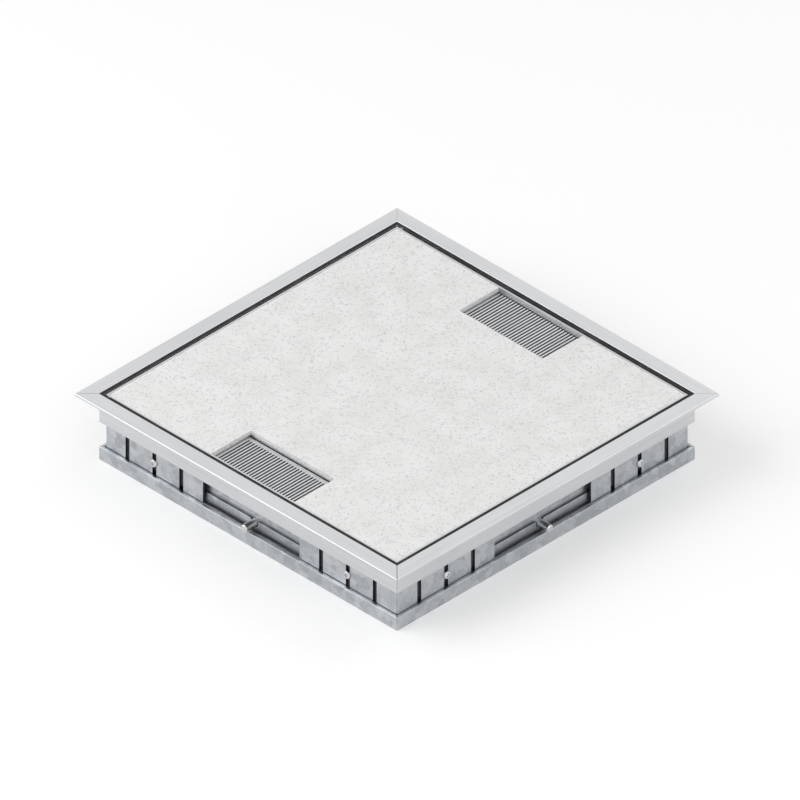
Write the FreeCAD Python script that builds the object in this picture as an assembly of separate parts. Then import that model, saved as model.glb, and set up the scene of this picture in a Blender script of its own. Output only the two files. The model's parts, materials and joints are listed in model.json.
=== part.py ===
import FreeCAD, Part
import math
import os

Vector = FreeCAD.Vector

# Frame seen from above, and the heights of its three bands
body_size = 244.0
flange_overhang = 10.0
base_height = 9.1
reveal_height = 17.4
band_height = 18.3
flange_thick = 1.6
flange_rise = 0.25
flange_edge = 0.5
edge_radius = 0.3

# Frame rails: upright band, lid ledge and the corner that carries the flange
band_thick = 1.4
band_step = 0.75
haunch = 2.0
ledge_width = 10.6
ledge_thick = 1.8
mitre_gap = 0.16

# Base rails
base_lip = 2.5
base_floor = 2.0
base_ledge = 21.5
lip_edge = 0.5
lip_lead = 0.6
fixing_hole = 5.5
fixing_inset = 16.0
fixing_spacing = 150.0

# Wall panels between the bands
sheet = 1.5
bend_radius = 0.5
wall_chamfer = 1.1
slot_pitch = 22.0
slot_width = 3.2
slot_below = 1.5
window_width = 79.0
window_cover = 2.0
level_down = 5.0
level_clear = 0.6

# Levelling brackets, clamp screws and corner gussets
clamp_height = 8.5
bracket_overhang = 2.0
bracket_foot = 7.6
bracket_drop = 6.6
bracket_corner = 2.0
bracket_clear = 0.1
lug_height = 4.0
lug_rise = 0.5
lug_clear = 0.2
screw_shank = 2.9
screw_head = 5.2
screw_head_height = 1.6
screw_round = 0.8
socket_across = 2.3
socket_depth = 0.9
screw_clear = 0.1
nut_across = 5.5
nut_thick = 2.4
nut_chamfer = 0.35
gusset_size = 13.7
gusset_thick = 2.0
gusset_gap = 1.0
gusset_bite = 1.2
gusset_clip = 4.0
gusset_round = 2.0

# Side latches
stud_diameter = 5.0
stud_reach = 3.8
stud_rise = 4.3
stud_round = 0.9
stud_edge = 0.2
stud_fit = 0.08
collar_diameter = 8.6
collar_thick = 2.5
collar_clear = 0.1
tail_diameter = 3.0
tail_past_cap = 1.0
barrel_bore = 9.4
barrel_wall = 1.4
barrel_fillet = 1.2
spring_room = 8.7
spring_diameter = 7.2
spring_wire = 0.8
spring_turns = 4.5
spring_steps = 12
spring_sides = 6
spring_clear = 0.1
cap_thick = 2.0
cap_fit = 0.03
keeper_gap = 1.2
keeper_rise = 6.2
notch_clear = 0.3
notch_round = 1.0
latch_overlap = 3.0

# Lid and its seal
lid_gap = 1.5
lid_drop = 0.7
rim_thick = 1.1
inlay_thick = 2.5
inlay_clear = 0.1
lid_plate = 1.5
seal_foot = 1.2
seal_lip = 1.0
seal_margin = 0.6
seal_clear = 0.1
bead_height = 0.6
bead_round = 0.25
hinge_inset = 2.0
hinge_drop = 1.7
hinge_pin = 2.0
hinge_room = 4.5
pin_fit = 0.05
stiffener_gap = 5.55
stiffener_width = 20.0
stiffener_flange = 8.0
stiffener_depth = 7.2
stiffener_sheet = 1.2
stiffener_end = 6.0

# Cord outlets in the lid
outlet_width = 68.5
outlet_length = 32.8
flap_drop = 3.7
flap_thick = 2.2
flap_clear = 0.4
knuckle_radius = 1.5
flap_pin = 1.6
groove_pitch = 2.27
groove_width = 1.1
groove_depth = 0.8
groove_start = 4.0
groove_margin = 1.0
grip_drop = 0.15
outlet_wall = 4.2
outlet_depth = 5.5
outlet_lip = 2.0
outlet_round = 1.5

# Device carriers, blanking inserts and earth terminal inside
carrier_gap = 68.0
carrier_margin = 2.0
carrier_rise = 5.0
carrier_screw_edge = 9.0
carrier_clear = 0.3
module_size = 45.0
module_margin = 5.0
module_clear = 0.1
module_count = 3
insert_border = 1.5
insert_cover = 1.6
insert_skirt = 3.5
insert_wall = 1.5
insert_round = 0.6
thumb_width = 10.0
thumb_depth = 2.0
thumb_drop = 0.8
earth_inset = 15.0
earth_from_corner = 25.0
washer_diameter = 9.0
washer_thick = 1.0
screw_end_clear = 0.3

# Places worked out from the sizes above
body_half = body_size / 2
flange_half = body_half + flange_overhang
band_bottom = base_height + reveal_height
flange_bottom = band_bottom + band_height
frame_top = flange_bottom + flange_thick
band_inner = body_half - band_thick
band_top = frame_top - band_step
bend_outside = bend_radius + sheet
lid_top = frame_top - lid_drop
plate_top = lid_top - inlay_thick
lid_bottom = plate_top - lid_plate
ledge_top = lid_bottom - seal_foot
ledge_bottom = ledge_top - ledge_thick
ledge_inner = band_inner - ledge_width
wall_outer = body_half - base_lip
wall_inner = wall_outer - sheet
wall_top = ledge_bottom - level_down - level_clear
window_top = band_bottom + window_cover
clamp_z = base_height + clamp_height
base_inner = wall_outer - base_ledge
rim_outer = band_inner - lid_gap
rim_inner = rim_outer - rim_thick
hinge_x = hinge_inset - rim_outer
hinge_z = lid_top - hinge_drop
bracket_outer = wall_inner - bracket_clear
bracket_half = slot_pitch + bracket_overhang
gusset_inner = bracket_outer - gusset_size
clamp_offset = gusset_inner - gusset_gap - bracket_half
gusset_bottom = ledge_bottom - gusset_thick
gusset_screw_t = gusset_inner + screw_head / 2 + screw_clear
gusset_screw_n = (ledge_inner + bracket_outer) / 2
stud_z = base_height + stud_rise
keeper_top = base_height + keeper_rise
keeper_face = wall_inner - keeper_gap
latch_face = keeper_face - sheet
latch_back = latch_face - sheet
latch_half = window_width / 2 + latch_overlap
collar_front = latch_back - collar_clear
collar_back = collar_front - collar_thick
cap_front = collar_back - spring_room
cap_back = cap_front - cap_thick
outlet_inner = rim_inner - outlet_length
outlet_half = outlet_width / 2
outlet_side = outlet_half + outlet_wall
stiffener_brim = stiffener_width / 2 + stiffener_flange
stiffener_offset = outlet_side + stiffener_gap + stiffener_brim
outlet_bottom = lid_bottom - outlet_depth
flap_top = lid_top - flap_drop
flap_bottom = flap_top - flap_thick
flap_outer = rim_inner - flap_clear
flap_half = outlet_half - flap_clear
knuckle_n = outlet_inner + flap_clear + knuckle_radius
knuckle_z = flap_top - knuckle_radius
groove_from = outlet_inner + groove_start
carrier_top = base_floor + carrier_rise
carrier_width = base_inner - carrier_margin - carrier_gap / 2
carrier_middle = (carrier_gap + carrier_width) / 2
module_pitch = 2 * (base_inner - module_margin) / module_count
carrier_screw_n = base_inner + sheet + bend_radius + carrier_clear + screw_head / 2
carrier_end = carrier_screw_n + screw_head / 2 + carrier_clear
carrier_screw_step = carrier_width / 2 - carrier_screw_edge

side_names = ["front", "right", "back", "left"]
sides = {side: 360 * i / len(side_names) for i, side in enumerate(side_names)}


def save(name, *solids):
    shape = solids[0] if len(solids) == 1 else Part.makeCompound(list(solids))
    shape.exportStep("parts/" + name + ".step")


# Shapes are drawn on the front side: t runs along it, n is the distance out from the middle
def side_box(t0, t1, n0, n1, z0, z1):
    return Part.makeBox(t1 - t0, n1 - n0, z1 - z0, Vector(t0, -n1, z0))


def side_rod(t, z, n0, n1, diameter):
    return Part.makeCylinder(diameter / 2, n1 - n0, Vector(t, -n0, z), Vector(0, -1, 0))


def long_rod(half, n, z, diameter):
    return Part.makeCylinder(diameter / 2, 2 * half, Vector(-half, -n, z), Vector(1, 0, 0))


def upright_rod(t, n, z0, z1, diameter):
    return Part.makeCylinder(diameter / 2, z1 - z0, Vector(t, -n, z0))


def polygon(points):
    return Part.Face(Part.makePolygon(points + points[:1]))


# Outline of (point, radius) corners; each radius becomes an arc that touches both its edges
def rounded_face(corners):
    ends = []
    arcs = []
    for i, (corner, radius) in enumerate(corners):
        to_last = (corners[i - 1][0] - corner).normalize()
        to_next = (corners[(i + 1) % len(corners)][0] - corner).normalize()
        half = to_last.getAngle(to_next) / 2
        cut = radius / math.tan(half)
        ends.append((corner + to_last * cut, corner + to_next * cut))
        middle = corner + (to_last + to_next) * (radius / math.sin(half) - radius) / (2 * math.cos(half))
        arcs.append(Part.Arc(ends[i][0], middle, ends[i][1]).toShape() if radius else None)
    edges = []
    for i, arc in enumerate(arcs):
        edges.append(Part.LineSegment(ends[i - 1][1], ends[i][0]).toShape())
        if arc:
            edges.append(arc)
    return Part.Face(Part.Wire(edges))


def side_bar(section, t0, t1):
    face = rounded_face([(Vector(t0, -n, z), radius) for n, z, radius in section])
    return face.extrude(Vector(t1 - t0, 0, 0))


def mitre(bar, gap):
    inset = gap / math.sqrt(2)
    reach = 2 * flange_half
    wedge = polygon([Vector(0, -inset, -reach), Vector(inset - reach, -reach, -reach),
                     Vector(reach - inset, -reach, -reach)])
    return bar.common(wedge.extrude(Vector(0, 0, 2 * reach)))


def turned(shape, angle):
    copy = shape.copy()
    copy.rotate(Vector(0, 0, 0), Vector(0, 0, 1), angle)
    return copy


def moved(shape, x, y, z):
    copy = shape.copy()
    copy.translate(Vector(x, y, z))
    return copy


# Turns an upright shape so that its top faces out of the front side
def facing_out(shape, t, n, z):
    copy = shape.copy()
    copy.rotate(Vector(0, 0, 0), Vector(1, 0, 0), 90)
    return moved(copy, t, -n, z)


def upside_down(shape):
    copy = shape.copy()
    copy.rotate(Vector(0, 0, 0), Vector(1, 0, 0), 180)
    return copy


def joined(first, *others):
    return first.fuse(list(others)).removeSplitter()


def lathe(outline):
    face = rounded_face([(Vector(r, 0, z), radius) for r, z, radius in outline])
    return face.revolve(Vector(0, 0, 0), Vector(0, 0, 1), 360)


def pan_screw(length):
    shank = screw_shank / 2
    head = screw_head / 2
    return lathe([(0, -length, 0), (shank, -length, 0), (shank, 0, 0), (head, 0, 0),
                  (head, screw_head_height, screw_round), (0, screw_head_height, 0)])


def hexagon(across, height):
    corner = across / math.sqrt(3)
    turns = [math.radians(60 * i) for i in range(6)]
    face = polygon([Vector(corner * math.cos(a), corner * math.sin(a), 0) for a in turns])
    return face.extrude(Vector(0, 0, height))


# Hexagon with its corners turned off at both ends
def hex_nut():
    hole = screw_shank / 2 + screw_clear
    flat = nut_across / 2
    corner = nut_across / math.sqrt(3)
    turned_off = lathe([(hole, 0, 0), (flat, 0, 0), (corner, nut_chamfer, 0),
                        (corner, nut_thick - nut_chamfer, 0), (flat, nut_thick, 0), (hole, nut_thick, 0)])
    return hexagon(nut_across, nut_thick).common(turned_off)


def screw_hole(t, n, z0, z1):
    return upright_rod(t, n, z0, z1, screw_shank + 2 * screw_clear)


def outlet_cut(z0, z1):
    return side_box(-outlet_half, outlet_half, outlet_inner, rim_inner, z0, z1)


# One length of the flange, band and ledge section; outlet sides are notched and hold a lid pin
def frame_rail(pin_t):
    section = [(flange_half, flange_bottom, edge_radius), (flange_half, frame_top, flange_edge),
               (body_half, frame_top + flange_rise, edge_radius), (body_half, band_top, 0),
               (band_inner, band_top, edge_radius), (band_inner, ledge_top, 0),
               (ledge_inner, ledge_top, edge_radius), (ledge_inner, ledge_bottom, edge_radius),
               (band_inner, ledge_bottom, edge_radius), (band_inner, band_bottom, edge_radius),
               (body_half, band_bottom, edge_radius), (body_half, flange_bottom, haunch)]
    rail = mitre(side_bar(section, -flange_half, flange_half), mitre_gap)
    for t in (-gusset_screw_t, gusset_screw_t):
        rail = rail.cut(screw_hole(t, gusset_screw_n, ledge_bottom, ledge_bottom + gusset_bite))
    if pin_t:
        half = outlet_side + flap_clear
        rail = rail.cut(side_box(-half, half, 0, flap_outer + flap_clear, ledge_bottom, ledge_top))
        rail = rail.cut(side_rod(pin_t, hinge_z, rim_inner, body_half, hinge_pin + 2 * pin_fit))
    return rail


def carrier_screw_places():
    return [side * carrier_middle + step for side in (-1, 1)
            for step in (-carrier_screw_step, carrier_screw_step)]


def base_rail(side):
    section = [(body_half, 0, edge_radius), (body_half, base_height, lip_edge),
               (wall_outer + lip_lead, base_height, 0), (wall_outer, base_height - lip_lead, 0),
               (wall_outer, base_floor, 0), (base_inner, base_floor, edge_radius),
               (base_inner, 0, edge_radius)]
    rail = mitre(side_bar(section, -body_half, body_half), mitre_gap)
    if side in ("front", "back"):
        for t in carrier_screw_places():
            rail = rail.cut(screw_hole(t, carrier_screw_n, 0, base_floor))
    else:
        for t in (-fixing_spacing / 2, fixing_spacing / 2):
            rail = rail.cut(upright_rod(t, body_half - fixing_inset, 0, base_floor, fixing_hole))
    if side == "right":
        rail = rail.cut(screw_hole(earth_from_corner - body_half, body_half - earth_inset, 0, base_floor))
    return rail


# Slotted sheet that stands in the base rail; its slots are open at the top
def wall_panel():
    corner = wall_outer - wall_chamfer / 2
    right_end = [(wall_outer - wall_chamfer, wall_outer), (corner, corner), (wall_inner, wall_inner)]
    left_end = [(-t, n) for t, n in reversed(right_end)]
    plan = polygon([Vector(t, -n, base_floor) for t, n in right_end + left_end])
    panel = plan.extrude(Vector(0, 0, wall_top - base_floor))
    for middle in (-clamp_offset, clamp_offset):
        for t in (middle - slot_pitch, middle, middle + slot_pitch):
            panel = panel.cut(side_box(t - slot_width / 2, t + slot_width / 2, 0, body_half,
                                       base_height - slot_below, wall_top))
    half = window_width / 2
    return panel.cut(side_box(-half, half, 0, body_half, base_height, window_top))


# Angle that hangs from the lid ledge, with two lugs that run in the outer slots
def levelling_bracket(middle):
    inner = bracket_outer - sheet
    toe = bracket_outer - bracket_foot
    foot = clamp_z - bracket_drop
    section = [(bracket_outer, foot, 0), (bracket_outer, ledge_bottom, bend_outside),
               (toe, ledge_bottom, 0), (toe, ledge_bottom - sheet, 0),
               (inner, ledge_bottom - sheet, bend_radius), (inner, foot, 0)]
    bracket = side_bar(section, middle - bracket_half, middle + bracket_half)
    corners = [e for e in bracket.Edges if e.BoundBox.ZMax < foot + sheet and e.BoundBox.XLength < sheet]
    bracket = bracket.makeFillet(bracket_corner, corners)
    lug_half = slot_width / 2 - lug_clear
    lug_bottom = band_bottom + lug_rise
    for t in (middle - slot_pitch, middle + slot_pitch):
        lug = side_box(t - lug_half, t + lug_half, bracket_outer - sheet, wall_outer - lug_clear,
                       lug_bottom, lug_bottom + lug_height)
        bracket = bracket.fuse(lug)
    hole = side_rod(middle, clamp_z, 0, body_half, screw_shank + 2 * screw_clear)
    return bracket.cut(hole).removeSplitter()


def clamp_screw(middle):
    length = wall_outer - bracket_outer + sheet + nut_thick
    socket = moved(hexagon(socket_across, socket_depth), 0, 0, screw_head_height - socket_depth)
    return facing_out(pan_screw(length).cut(socket), middle, wall_outer, clamp_z)


def clamp_nut(middle):
    return facing_out(hex_nut(), middle, bracket_outer - sheet - nut_thick, clamp_z)


# Plates under the ledge that tie two mitred rails together, clipped towards the middle
def corner_gusset():
    near = gusset_inner
    far = bracket_outer
    plan = [(near + gusset_clip, near, 0), (far, near, 0), (far, far, gusset_round), (near, far, 0),
            (near, near + gusset_clip, 0)]
    face = rounded_face([(Vector(t, -n, gusset_bottom), radius) for t, n, radius in plan])
    plate = face.extrude(Vector(0, 0, gusset_thick))
    for t, n in gusset_screw_places():
        plate = plate.cut(screw_hole(t, n, gusset_bottom, ledge_bottom))
    return plate


def gusset_screw_places():
    return [(gusset_screw_t, gusset_screw_n), (gusset_screw_n, gusset_screw_t)]


def gusset_screw(t, n):
    screw = upside_down(pan_screw(gusset_thick + gusset_bite - screw_clear))
    return moved(screw, t, -n, gusset_bottom)


# Plate behind the window with a barrel that holds the spring and the stud's collar
def latch_body():
    plate = side_box(-latch_half, latch_half, latch_back, latch_face, base_floor, window_top)
    barrel = side_rod(0, stud_z, cap_back, latch_back, barrel_bore + 2 * barrel_wall)
    body = joined(plate, barrel)
    root = [e for e in body.Edges if isinstance(e.Curve, Part.Circle)
            and abs(e.BoundBox.YMin + latch_back) < barrel_wall / 2]
    body = body.makeFillet(barrel_fillet, root)
    body = body.cut(side_rod(0, stud_z, cap_back, latch_back, barrel_bore))
    return body.cut(side_rod(0, stud_z, latch_back, latch_face, stud_diameter + 2 * stud_fit))


# Plate in front of the latch body, notched from its top edge for the stud
def latch_keeper():
    half = stud_diameter / 2 + notch_clear
    plate = side_box(-latch_half, latch_half, latch_face, keeper_face, base_floor, keeper_top)
    plate = plate.cut(side_box(-half, half, latch_face, keeper_face, stud_z, keeper_top))
    mouth = [e for e in plate.Edges if e.BoundBox.ZMin > keeper_top - sheet / 2
             and e.BoundBox.XLength < sheet / 2 and abs(e.BoundBox.Center.x) < stud_diameter]
    plate = plate.makeFillet(notch_round, mouth)
    return plate.cut(side_rod(0, stud_z, latch_face, keeper_face, 2 * half))


def latch_stud():
    tail_end = cap_back - tail_past_cap
    nose = body_half + stud_reach
    radius = stud_diameter / 2
    tail = tail_diameter / 2
    collar = collar_diameter / 2
    outline = [(0, tail_end, 0), (tail, tail_end, stud_edge), (tail, collar_back, 0),
               (collar, collar_back, stud_edge), (collar, collar_front, stud_edge),
               (radius, collar_front, 0), (radius, nose, stud_round), (0, nose, 0)]
    return facing_out(lathe(outline), 0, 0, stud_z)


# Coil bent in short straight steps, from wire with flats
def latch_spring():
    height = spring_room - 2 * spring_clear - spring_wire
    radius = (spring_diameter - spring_wire) / 2
    angle = 2 * math.pi / spring_steps
    count = round(spring_turns * spring_steps)
    path = [Vector(radius * math.cos(angle * i), radius * math.sin(angle * i), height * i / count)
            for i in range(count + 1)]
    circle = Part.makeCircle(spring_wire / 2, path[0], path[1] - path[0])
    corners = circle.discretize(spring_sides + 1)[:-1]
    section = Part.makePolygon(corners + corners[:1])
    coil = Part.makePolygon(path).makePipeShell([section], True, False, 1)
    return facing_out(coil, 0, cap_front + spring_clear + spring_wire / 2, stud_z)


def latch_cap():
    cap = side_rod(0, stud_z, cap_back, cap_front, barrel_bore - 2 * cap_fit)
    return cap.cut(side_rod(0, stud_z, cap_back, cap_front, tail_diameter + 2 * stud_fit))


# Seal with a foot on the ledge, a lip beside the lid and a bead on the band's step;
# only the bead and a flat strip run past the lid's turning edge
def lid_seal():
    outer = band_inner - seal_clear
    inner = outer - seal_lip
    foot_inner = ledge_inner + seal_margin
    foot_top = ledge_top + seal_foot
    bead_outer = body_half - seal_clear
    bead_top = band_top + bead_height
    hook = [(foot_inner, ledge_top, 0), (outer, ledge_top, 0), (outer, band_top, 0),
            (bead_outer, band_top, 0), (bead_outer, bead_top, bead_round), (inner, bead_top, bead_round),
            (inner, foot_top, edge_radius), (foot_inner, foot_top, 0)]
    bead = [(outer, band_top, 0), (bead_outer, band_top, 0), (bead_outer, bead_top, bead_round),
            (outer, bead_top, 0)]
    strips = [turned(mitre(side_bar(hook, -bead_outer, bead_outer), 0), sides[side])
              for side in ("front", "right", "back")]
    edge = rim_outer - hinge_room
    flat = side_box(-outer, outer, foot_inner, edge, ledge_top, foot_top)
    strips += [turned(mitre(bar, 0), sides["left"])
               for bar in (flat, side_bar(bead, -bead_outer, bead_outer))]
    seal = joined(*strips)
    turning_room = turned(side_box(-outer, outer, edge, outer, ledge_top, bead_top), sides["left"])
    half = outlet_side + flap_clear
    notch = side_box(-half, half, 0, flap_outer + flap_clear, ledge_top, foot_top)
    return seal.cut(turning_room).cut(notch).cut(turned(notch, sides["back"]))


def lid_pin(pin_t):
    return side_rod(pin_t, hinge_z, rim_inner + inlay_clear, body_half, hinge_pin)


def lid_block(half, z0, z1):
    return Part.makeBox(2 * half, 2 * half, z1 - z0, Vector(-half, -half, z0))


# Shallow tray: plate with a thin rim, open at the two outlets
def lid_tray():
    tray = lid_block(rim_outer, lid_bottom, lid_top).cut(lid_block(rim_inner, plate_top, lid_top))
    cut = outlet_cut(lid_bottom, plate_top)
    tray = tray.cut(cut).cut(turned(cut, sides["back"]))
    for side, t in (("front", hinge_x), ("back", -hinge_x)):
        hole = side_rod(t, hinge_z, rim_inner, rim_outer, hinge_pin + 2 * pin_fit)
        tray = tray.cut(turned(hole, sides[side]))
    return tray


def lid_inlay():
    inlay = lid_block(rim_inner - inlay_clear, plate_top, lid_top)
    cut = outlet_cut(plate_top, lid_top)
    return inlay.cut(cut).cut(turned(cut, sides["back"]))


# Hat section under the lid plate
def lid_stiffener(offset):
    wide = stiffener_width / 2
    brim = stiffener_brim
    inside = wide - stiffener_sheet
    low = lid_bottom - stiffener_depth
    brim_low = lid_bottom - stiffener_sheet
    outside = bend_radius + stiffener_sheet
    right = [(inside, low + stiffener_sheet, bend_radius), (inside, lid_bottom, outside),
             (brim, lid_bottom, 0), (brim, brim_low, 0), (wide, brim_low, bend_radius), (wide, low, outside)]
    left = [(-x, z, radius) for x, z, radius in reversed(right)]
    end = ledge_inner - stiffener_end
    face = rounded_face([(Vector(offset + x, -end, z), radius) for x, z, radius in right + left])
    return face.extrude(Vector(0, 2 * end, 0))


# Frame under the lid plate that carries the flap's pin and the lip that the flap rests on
def outlet_frame():
    half = outlet_side
    frame = side_box(-half, half, outlet_inner - outlet_wall, flap_outer, outlet_bottom, lid_bottom)
    frame = frame.makeFillet(outlet_round, [e for e in frame.Edges if e.BoundBox.ZLength > outlet_depth / 2])
    frame = frame.cut(side_box(-outlet_half, outlet_half, outlet_inner, flap_outer - outlet_lip,
                               outlet_bottom, lid_bottom))
    frame = frame.cut(side_box(-outlet_half, outlet_half, outlet_inner, flap_outer, flap_bottom, lid_bottom))
    return frame.cut(long_rod(half, knuckle_n, knuckle_z, flap_pin + 2 * pin_fit))


def groove_places():
    count = int((2 * flap_half - 2 * groove_margin - groove_width) / groove_pitch) + 1
    return [(i - (count - 1) / 2) * groove_pitch for i in range(count)]


# Flap: a grooved plate carried along its depth, with a round knuckle at its inner edge
def outlet_flap():
    top = [(-flap_half, flap_top)]
    for t in groove_places():
        left = t - groove_width / 2
        right = t + groove_width / 2
        top += [(left, flap_top), (left, flap_top - groove_depth), (right, flap_top - groove_depth),
                (right, flap_top)]
    outline = top + [(flap_half, flap_top), (flap_half, flap_bottom), (-flap_half, flap_bottom)]
    face = polygon([Vector(t, -groove_from, z) for t, z in outline])
    ribbed = face.extrude(Vector(0, groove_from - flap_outer, 0))
    plain = side_box(-flap_half, flap_half, knuckle_n, groove_from, flap_bottom, flap_top)
    knuckle = long_rod(flap_half, knuckle_n, knuckle_z, 2 * knuckle_radius)
    flap = joined(ribbed, plain, knuckle)
    return flap.cut(long_rod(flap_half, knuckle_n, knuckle_z, flap_pin + 2 * pin_fit))


def grip_strips():
    half = groove_width / 2
    return [side_box(t - half, t + half, groove_from, flap_outer, flap_top - groove_depth,
                     flap_top - grip_drop) for t in groove_places()]


def flap_pin_rod():
    return long_rod(outlet_side, knuckle_n, knuckle_z, flap_pin)


def module_places():
    return [(i - (module_count - 1) / 2) * module_pitch for i in range(module_count)]


# Bent plate across the base with square openings for wiring devices
def device_carrier(middle):
    inner = base_inner
    outer = base_inner + sheet
    under = carrier_top - sheet
    back = [(carrier_end, base_floor, 0), (carrier_end, base_floor + sheet, 0),
            (outer, base_floor + sheet, bend_radius), (outer, carrier_top, bend_outside)]
    front = [(-y, z, radius) for y, z, radius in reversed(back)]
    low = [(-inner, base_floor, bend_outside), (-inner, under, bend_radius), (inner, under, bend_radius),
           (inner, base_floor, bend_outside)]
    left = middle - carrier_width / 2
    right = middle + carrier_width / 2
    face = rounded_face([(Vector(left, y, z), radius) for y, z, radius in back + front + low])
    carrier = face.extrude(Vector(carrier_width, 0, 0))
    for x0, x1 in ((left, left + sheet), (right - sheet, right)):
        edge = side_box(x0, x1, carrier_clear - inner, inner - carrier_clear, base_floor, carrier_top)
        carrier = carrier.fuse(edge)
    half = module_size / 2 + module_clear
    for y in module_places():
        carrier = carrier.cut(side_box(middle - half, middle + half, y - half, y + half, under, carrier_top))
    for step in (-carrier_screw_step, carrier_screw_step):
        for y in (-carrier_screw_n, carrier_screw_n):
            carrier = carrier.cut(screw_hole(middle + step, y, base_floor, base_floor + sheet))
    return carrier.removeSplitter()


# Snap-in cover with a hollow skirt below it and a thumb notch in one edge
def blank_insert():
    half = module_size / 2
    cover = lid_block(half + insert_border, 0, insert_cover)
    edges = [e for e in cover.Edges if e.BoundBox.ZMin > insert_cover / 2]
    cover = cover.makeFillet(insert_round, edges)
    edge = half + insert_border
    cover = cover.cut(side_box(-thumb_width / 2, thumb_width / 2, edge - thumb_depth, edge, 0, thumb_drop))
    skirt = lid_block(half, -insert_skirt, 0).cut(lid_block(half - insert_wall, -insert_skirt, 0))
    return joined(cover, skirt)


os.makedirs("parts", exist_ok=True)

pin_places = {"front": hinge_x, "back": -hinge_x}
keeper = latch_keeper()
for side, angle in sides.items():
    save("frame_rail_" + side, turned(frame_rail(pin_places.get(side)), angle))
    save("base_rail_" + side, turned(base_rail(side), angle))
    save("wall_panel_" + side, turned(wall_panel(), angle))
    save("latch_body_" + side, turned(latch_body(), angle))
    save("latch_keeper_" + side, turned(keeper, angle))
    save("latch_stud_" + side, turned(latch_stud(), angle))
    save("latch_spring_" + side, turned(latch_spring(), angle))
    save("levelling_brackets_" + side,
         *[turned(levelling_bracket(t), angle) for t in (-clamp_offset, clamp_offset)])
save("latch_caps", *[turned(latch_cap(), angle) for angle in sides.values()])

clamp_places = [(t, angle) for angle in sides.values() for t in (-clamp_offset, clamp_offset)]
save("clamp_screws", *[turned(clamp_screw(t), angle) for t, angle in clamp_places])
save("clamp_nuts", *[turned(clamp_nut(t), angle) for t, angle in clamp_places])
save("corner_gussets", *[turned(corner_gusset(), angle) for angle in sides.values()])
save("gusset_screws", *[turned(gusset_screw(t, n), angle) for angle in sides.values()
                        for t, n in gusset_screw_places()])

save("lid_seal", lid_seal())
save("lid_pins", *[turned(lid_pin(t), sides[side]) for side, t in pin_places.items()])
save("lid_tray", lid_tray())
save("lid_inlay", lid_inlay())
save("lid_stiffener_left", lid_stiffener(-stiffener_offset))
save("lid_stiffener_right", lid_stiffener(stiffener_offset))
for side in ("front", "back"):
    angle = sides[side]
    save("outlet_frame_" + side, turned(outlet_frame(), angle))
    save("outlet_flap_" + side, turned(outlet_flap(), angle))
    save("grip_strips_" + side, *[turned(strip, angle) for strip in grip_strips()])
    save("flap_pin_" + side, turned(flap_pin_rod(), angle))

insert = blank_insert()
for side, middle in (("left", -carrier_middle), ("right", carrier_middle)):
    save("device_carrier_" + side, device_carrier(middle))
    save("blank_inserts_" + side, *[moved(insert, middle, y, carrier_top) for y in module_places()])
carrier_screw = pan_screw(base_floor + sheet - screw_end_clear)
save("carrier_screws", *[moved(carrier_screw, x, y, base_floor + sheet) for x in carrier_screw_places()
                         for y in (-carrier_screw_n, carrier_screw_n)])

earth_x = body_half - earth_inset
earth_y = earth_from_corner - body_half
washer = upright_rod(0, 0, 0, washer_thick, washer_diameter).cut(screw_hole(0, 0, 0, washer_thick))
earth_screw = pan_screw(base_floor + washer_thick - screw_end_clear)
save("earth_terminal", moved(washer, earth_x, earth_y, base_floor),
     moved(earth_screw, earth_x, earth_y, base_floor + washer_thick))
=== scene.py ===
import json
import math

import bmesh
import bpy
import numpy as np
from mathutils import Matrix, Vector


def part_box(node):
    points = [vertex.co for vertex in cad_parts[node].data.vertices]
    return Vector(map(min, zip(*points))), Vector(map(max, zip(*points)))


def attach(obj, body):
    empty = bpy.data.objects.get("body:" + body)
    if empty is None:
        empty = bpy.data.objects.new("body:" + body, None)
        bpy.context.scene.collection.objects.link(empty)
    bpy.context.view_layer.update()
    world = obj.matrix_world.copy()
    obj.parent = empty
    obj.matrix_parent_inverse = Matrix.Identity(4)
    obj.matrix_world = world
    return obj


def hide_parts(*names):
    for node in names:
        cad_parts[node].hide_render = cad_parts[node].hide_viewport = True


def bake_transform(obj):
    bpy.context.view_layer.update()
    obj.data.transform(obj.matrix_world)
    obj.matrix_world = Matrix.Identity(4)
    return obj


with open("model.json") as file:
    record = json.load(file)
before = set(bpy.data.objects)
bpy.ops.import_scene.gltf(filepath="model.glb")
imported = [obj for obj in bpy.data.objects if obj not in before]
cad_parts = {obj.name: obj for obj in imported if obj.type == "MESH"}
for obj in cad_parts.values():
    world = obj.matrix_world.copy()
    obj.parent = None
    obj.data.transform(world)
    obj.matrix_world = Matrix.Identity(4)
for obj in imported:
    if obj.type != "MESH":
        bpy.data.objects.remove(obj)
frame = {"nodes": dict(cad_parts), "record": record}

mm = 0.001
alongX, alongY = 0, 1
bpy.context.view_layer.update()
nodes = frame["nodes"]
record = frame["record"]
bodyOf = {node: body for body, members in record["behaviour"]["bodies"].items() for node in members}
sideTurns = {"front": 0, "right": 90, "back": 180, "left": 270}
print("frame loaded:", len(nodes), "nodes")


# Points are drawn on the front side (t along it, n out from the middle, z up) and turned to the others
def turned(points, side):
    angle = math.radians(sideTurns[side])
    c, s = math.cos(angle), math.sin(angle)
    return points @ np.array([[c, s, 0], [-s, c, 0], [0, 0, 1]])


# On the front side x is t and y is -n
def onSide(t, n, z, side):
    return turned(np.stack(np.broadcast_arrays(t, -n, z), -1).astype(float), side)


# An upright shape laid over so that its top faces out of a side, at that place
def facingOut(points, t, n, z, side):
    return onSide(points[..., 0] + t, points[..., 2] + n, points[..., 1] + z, side)


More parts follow.
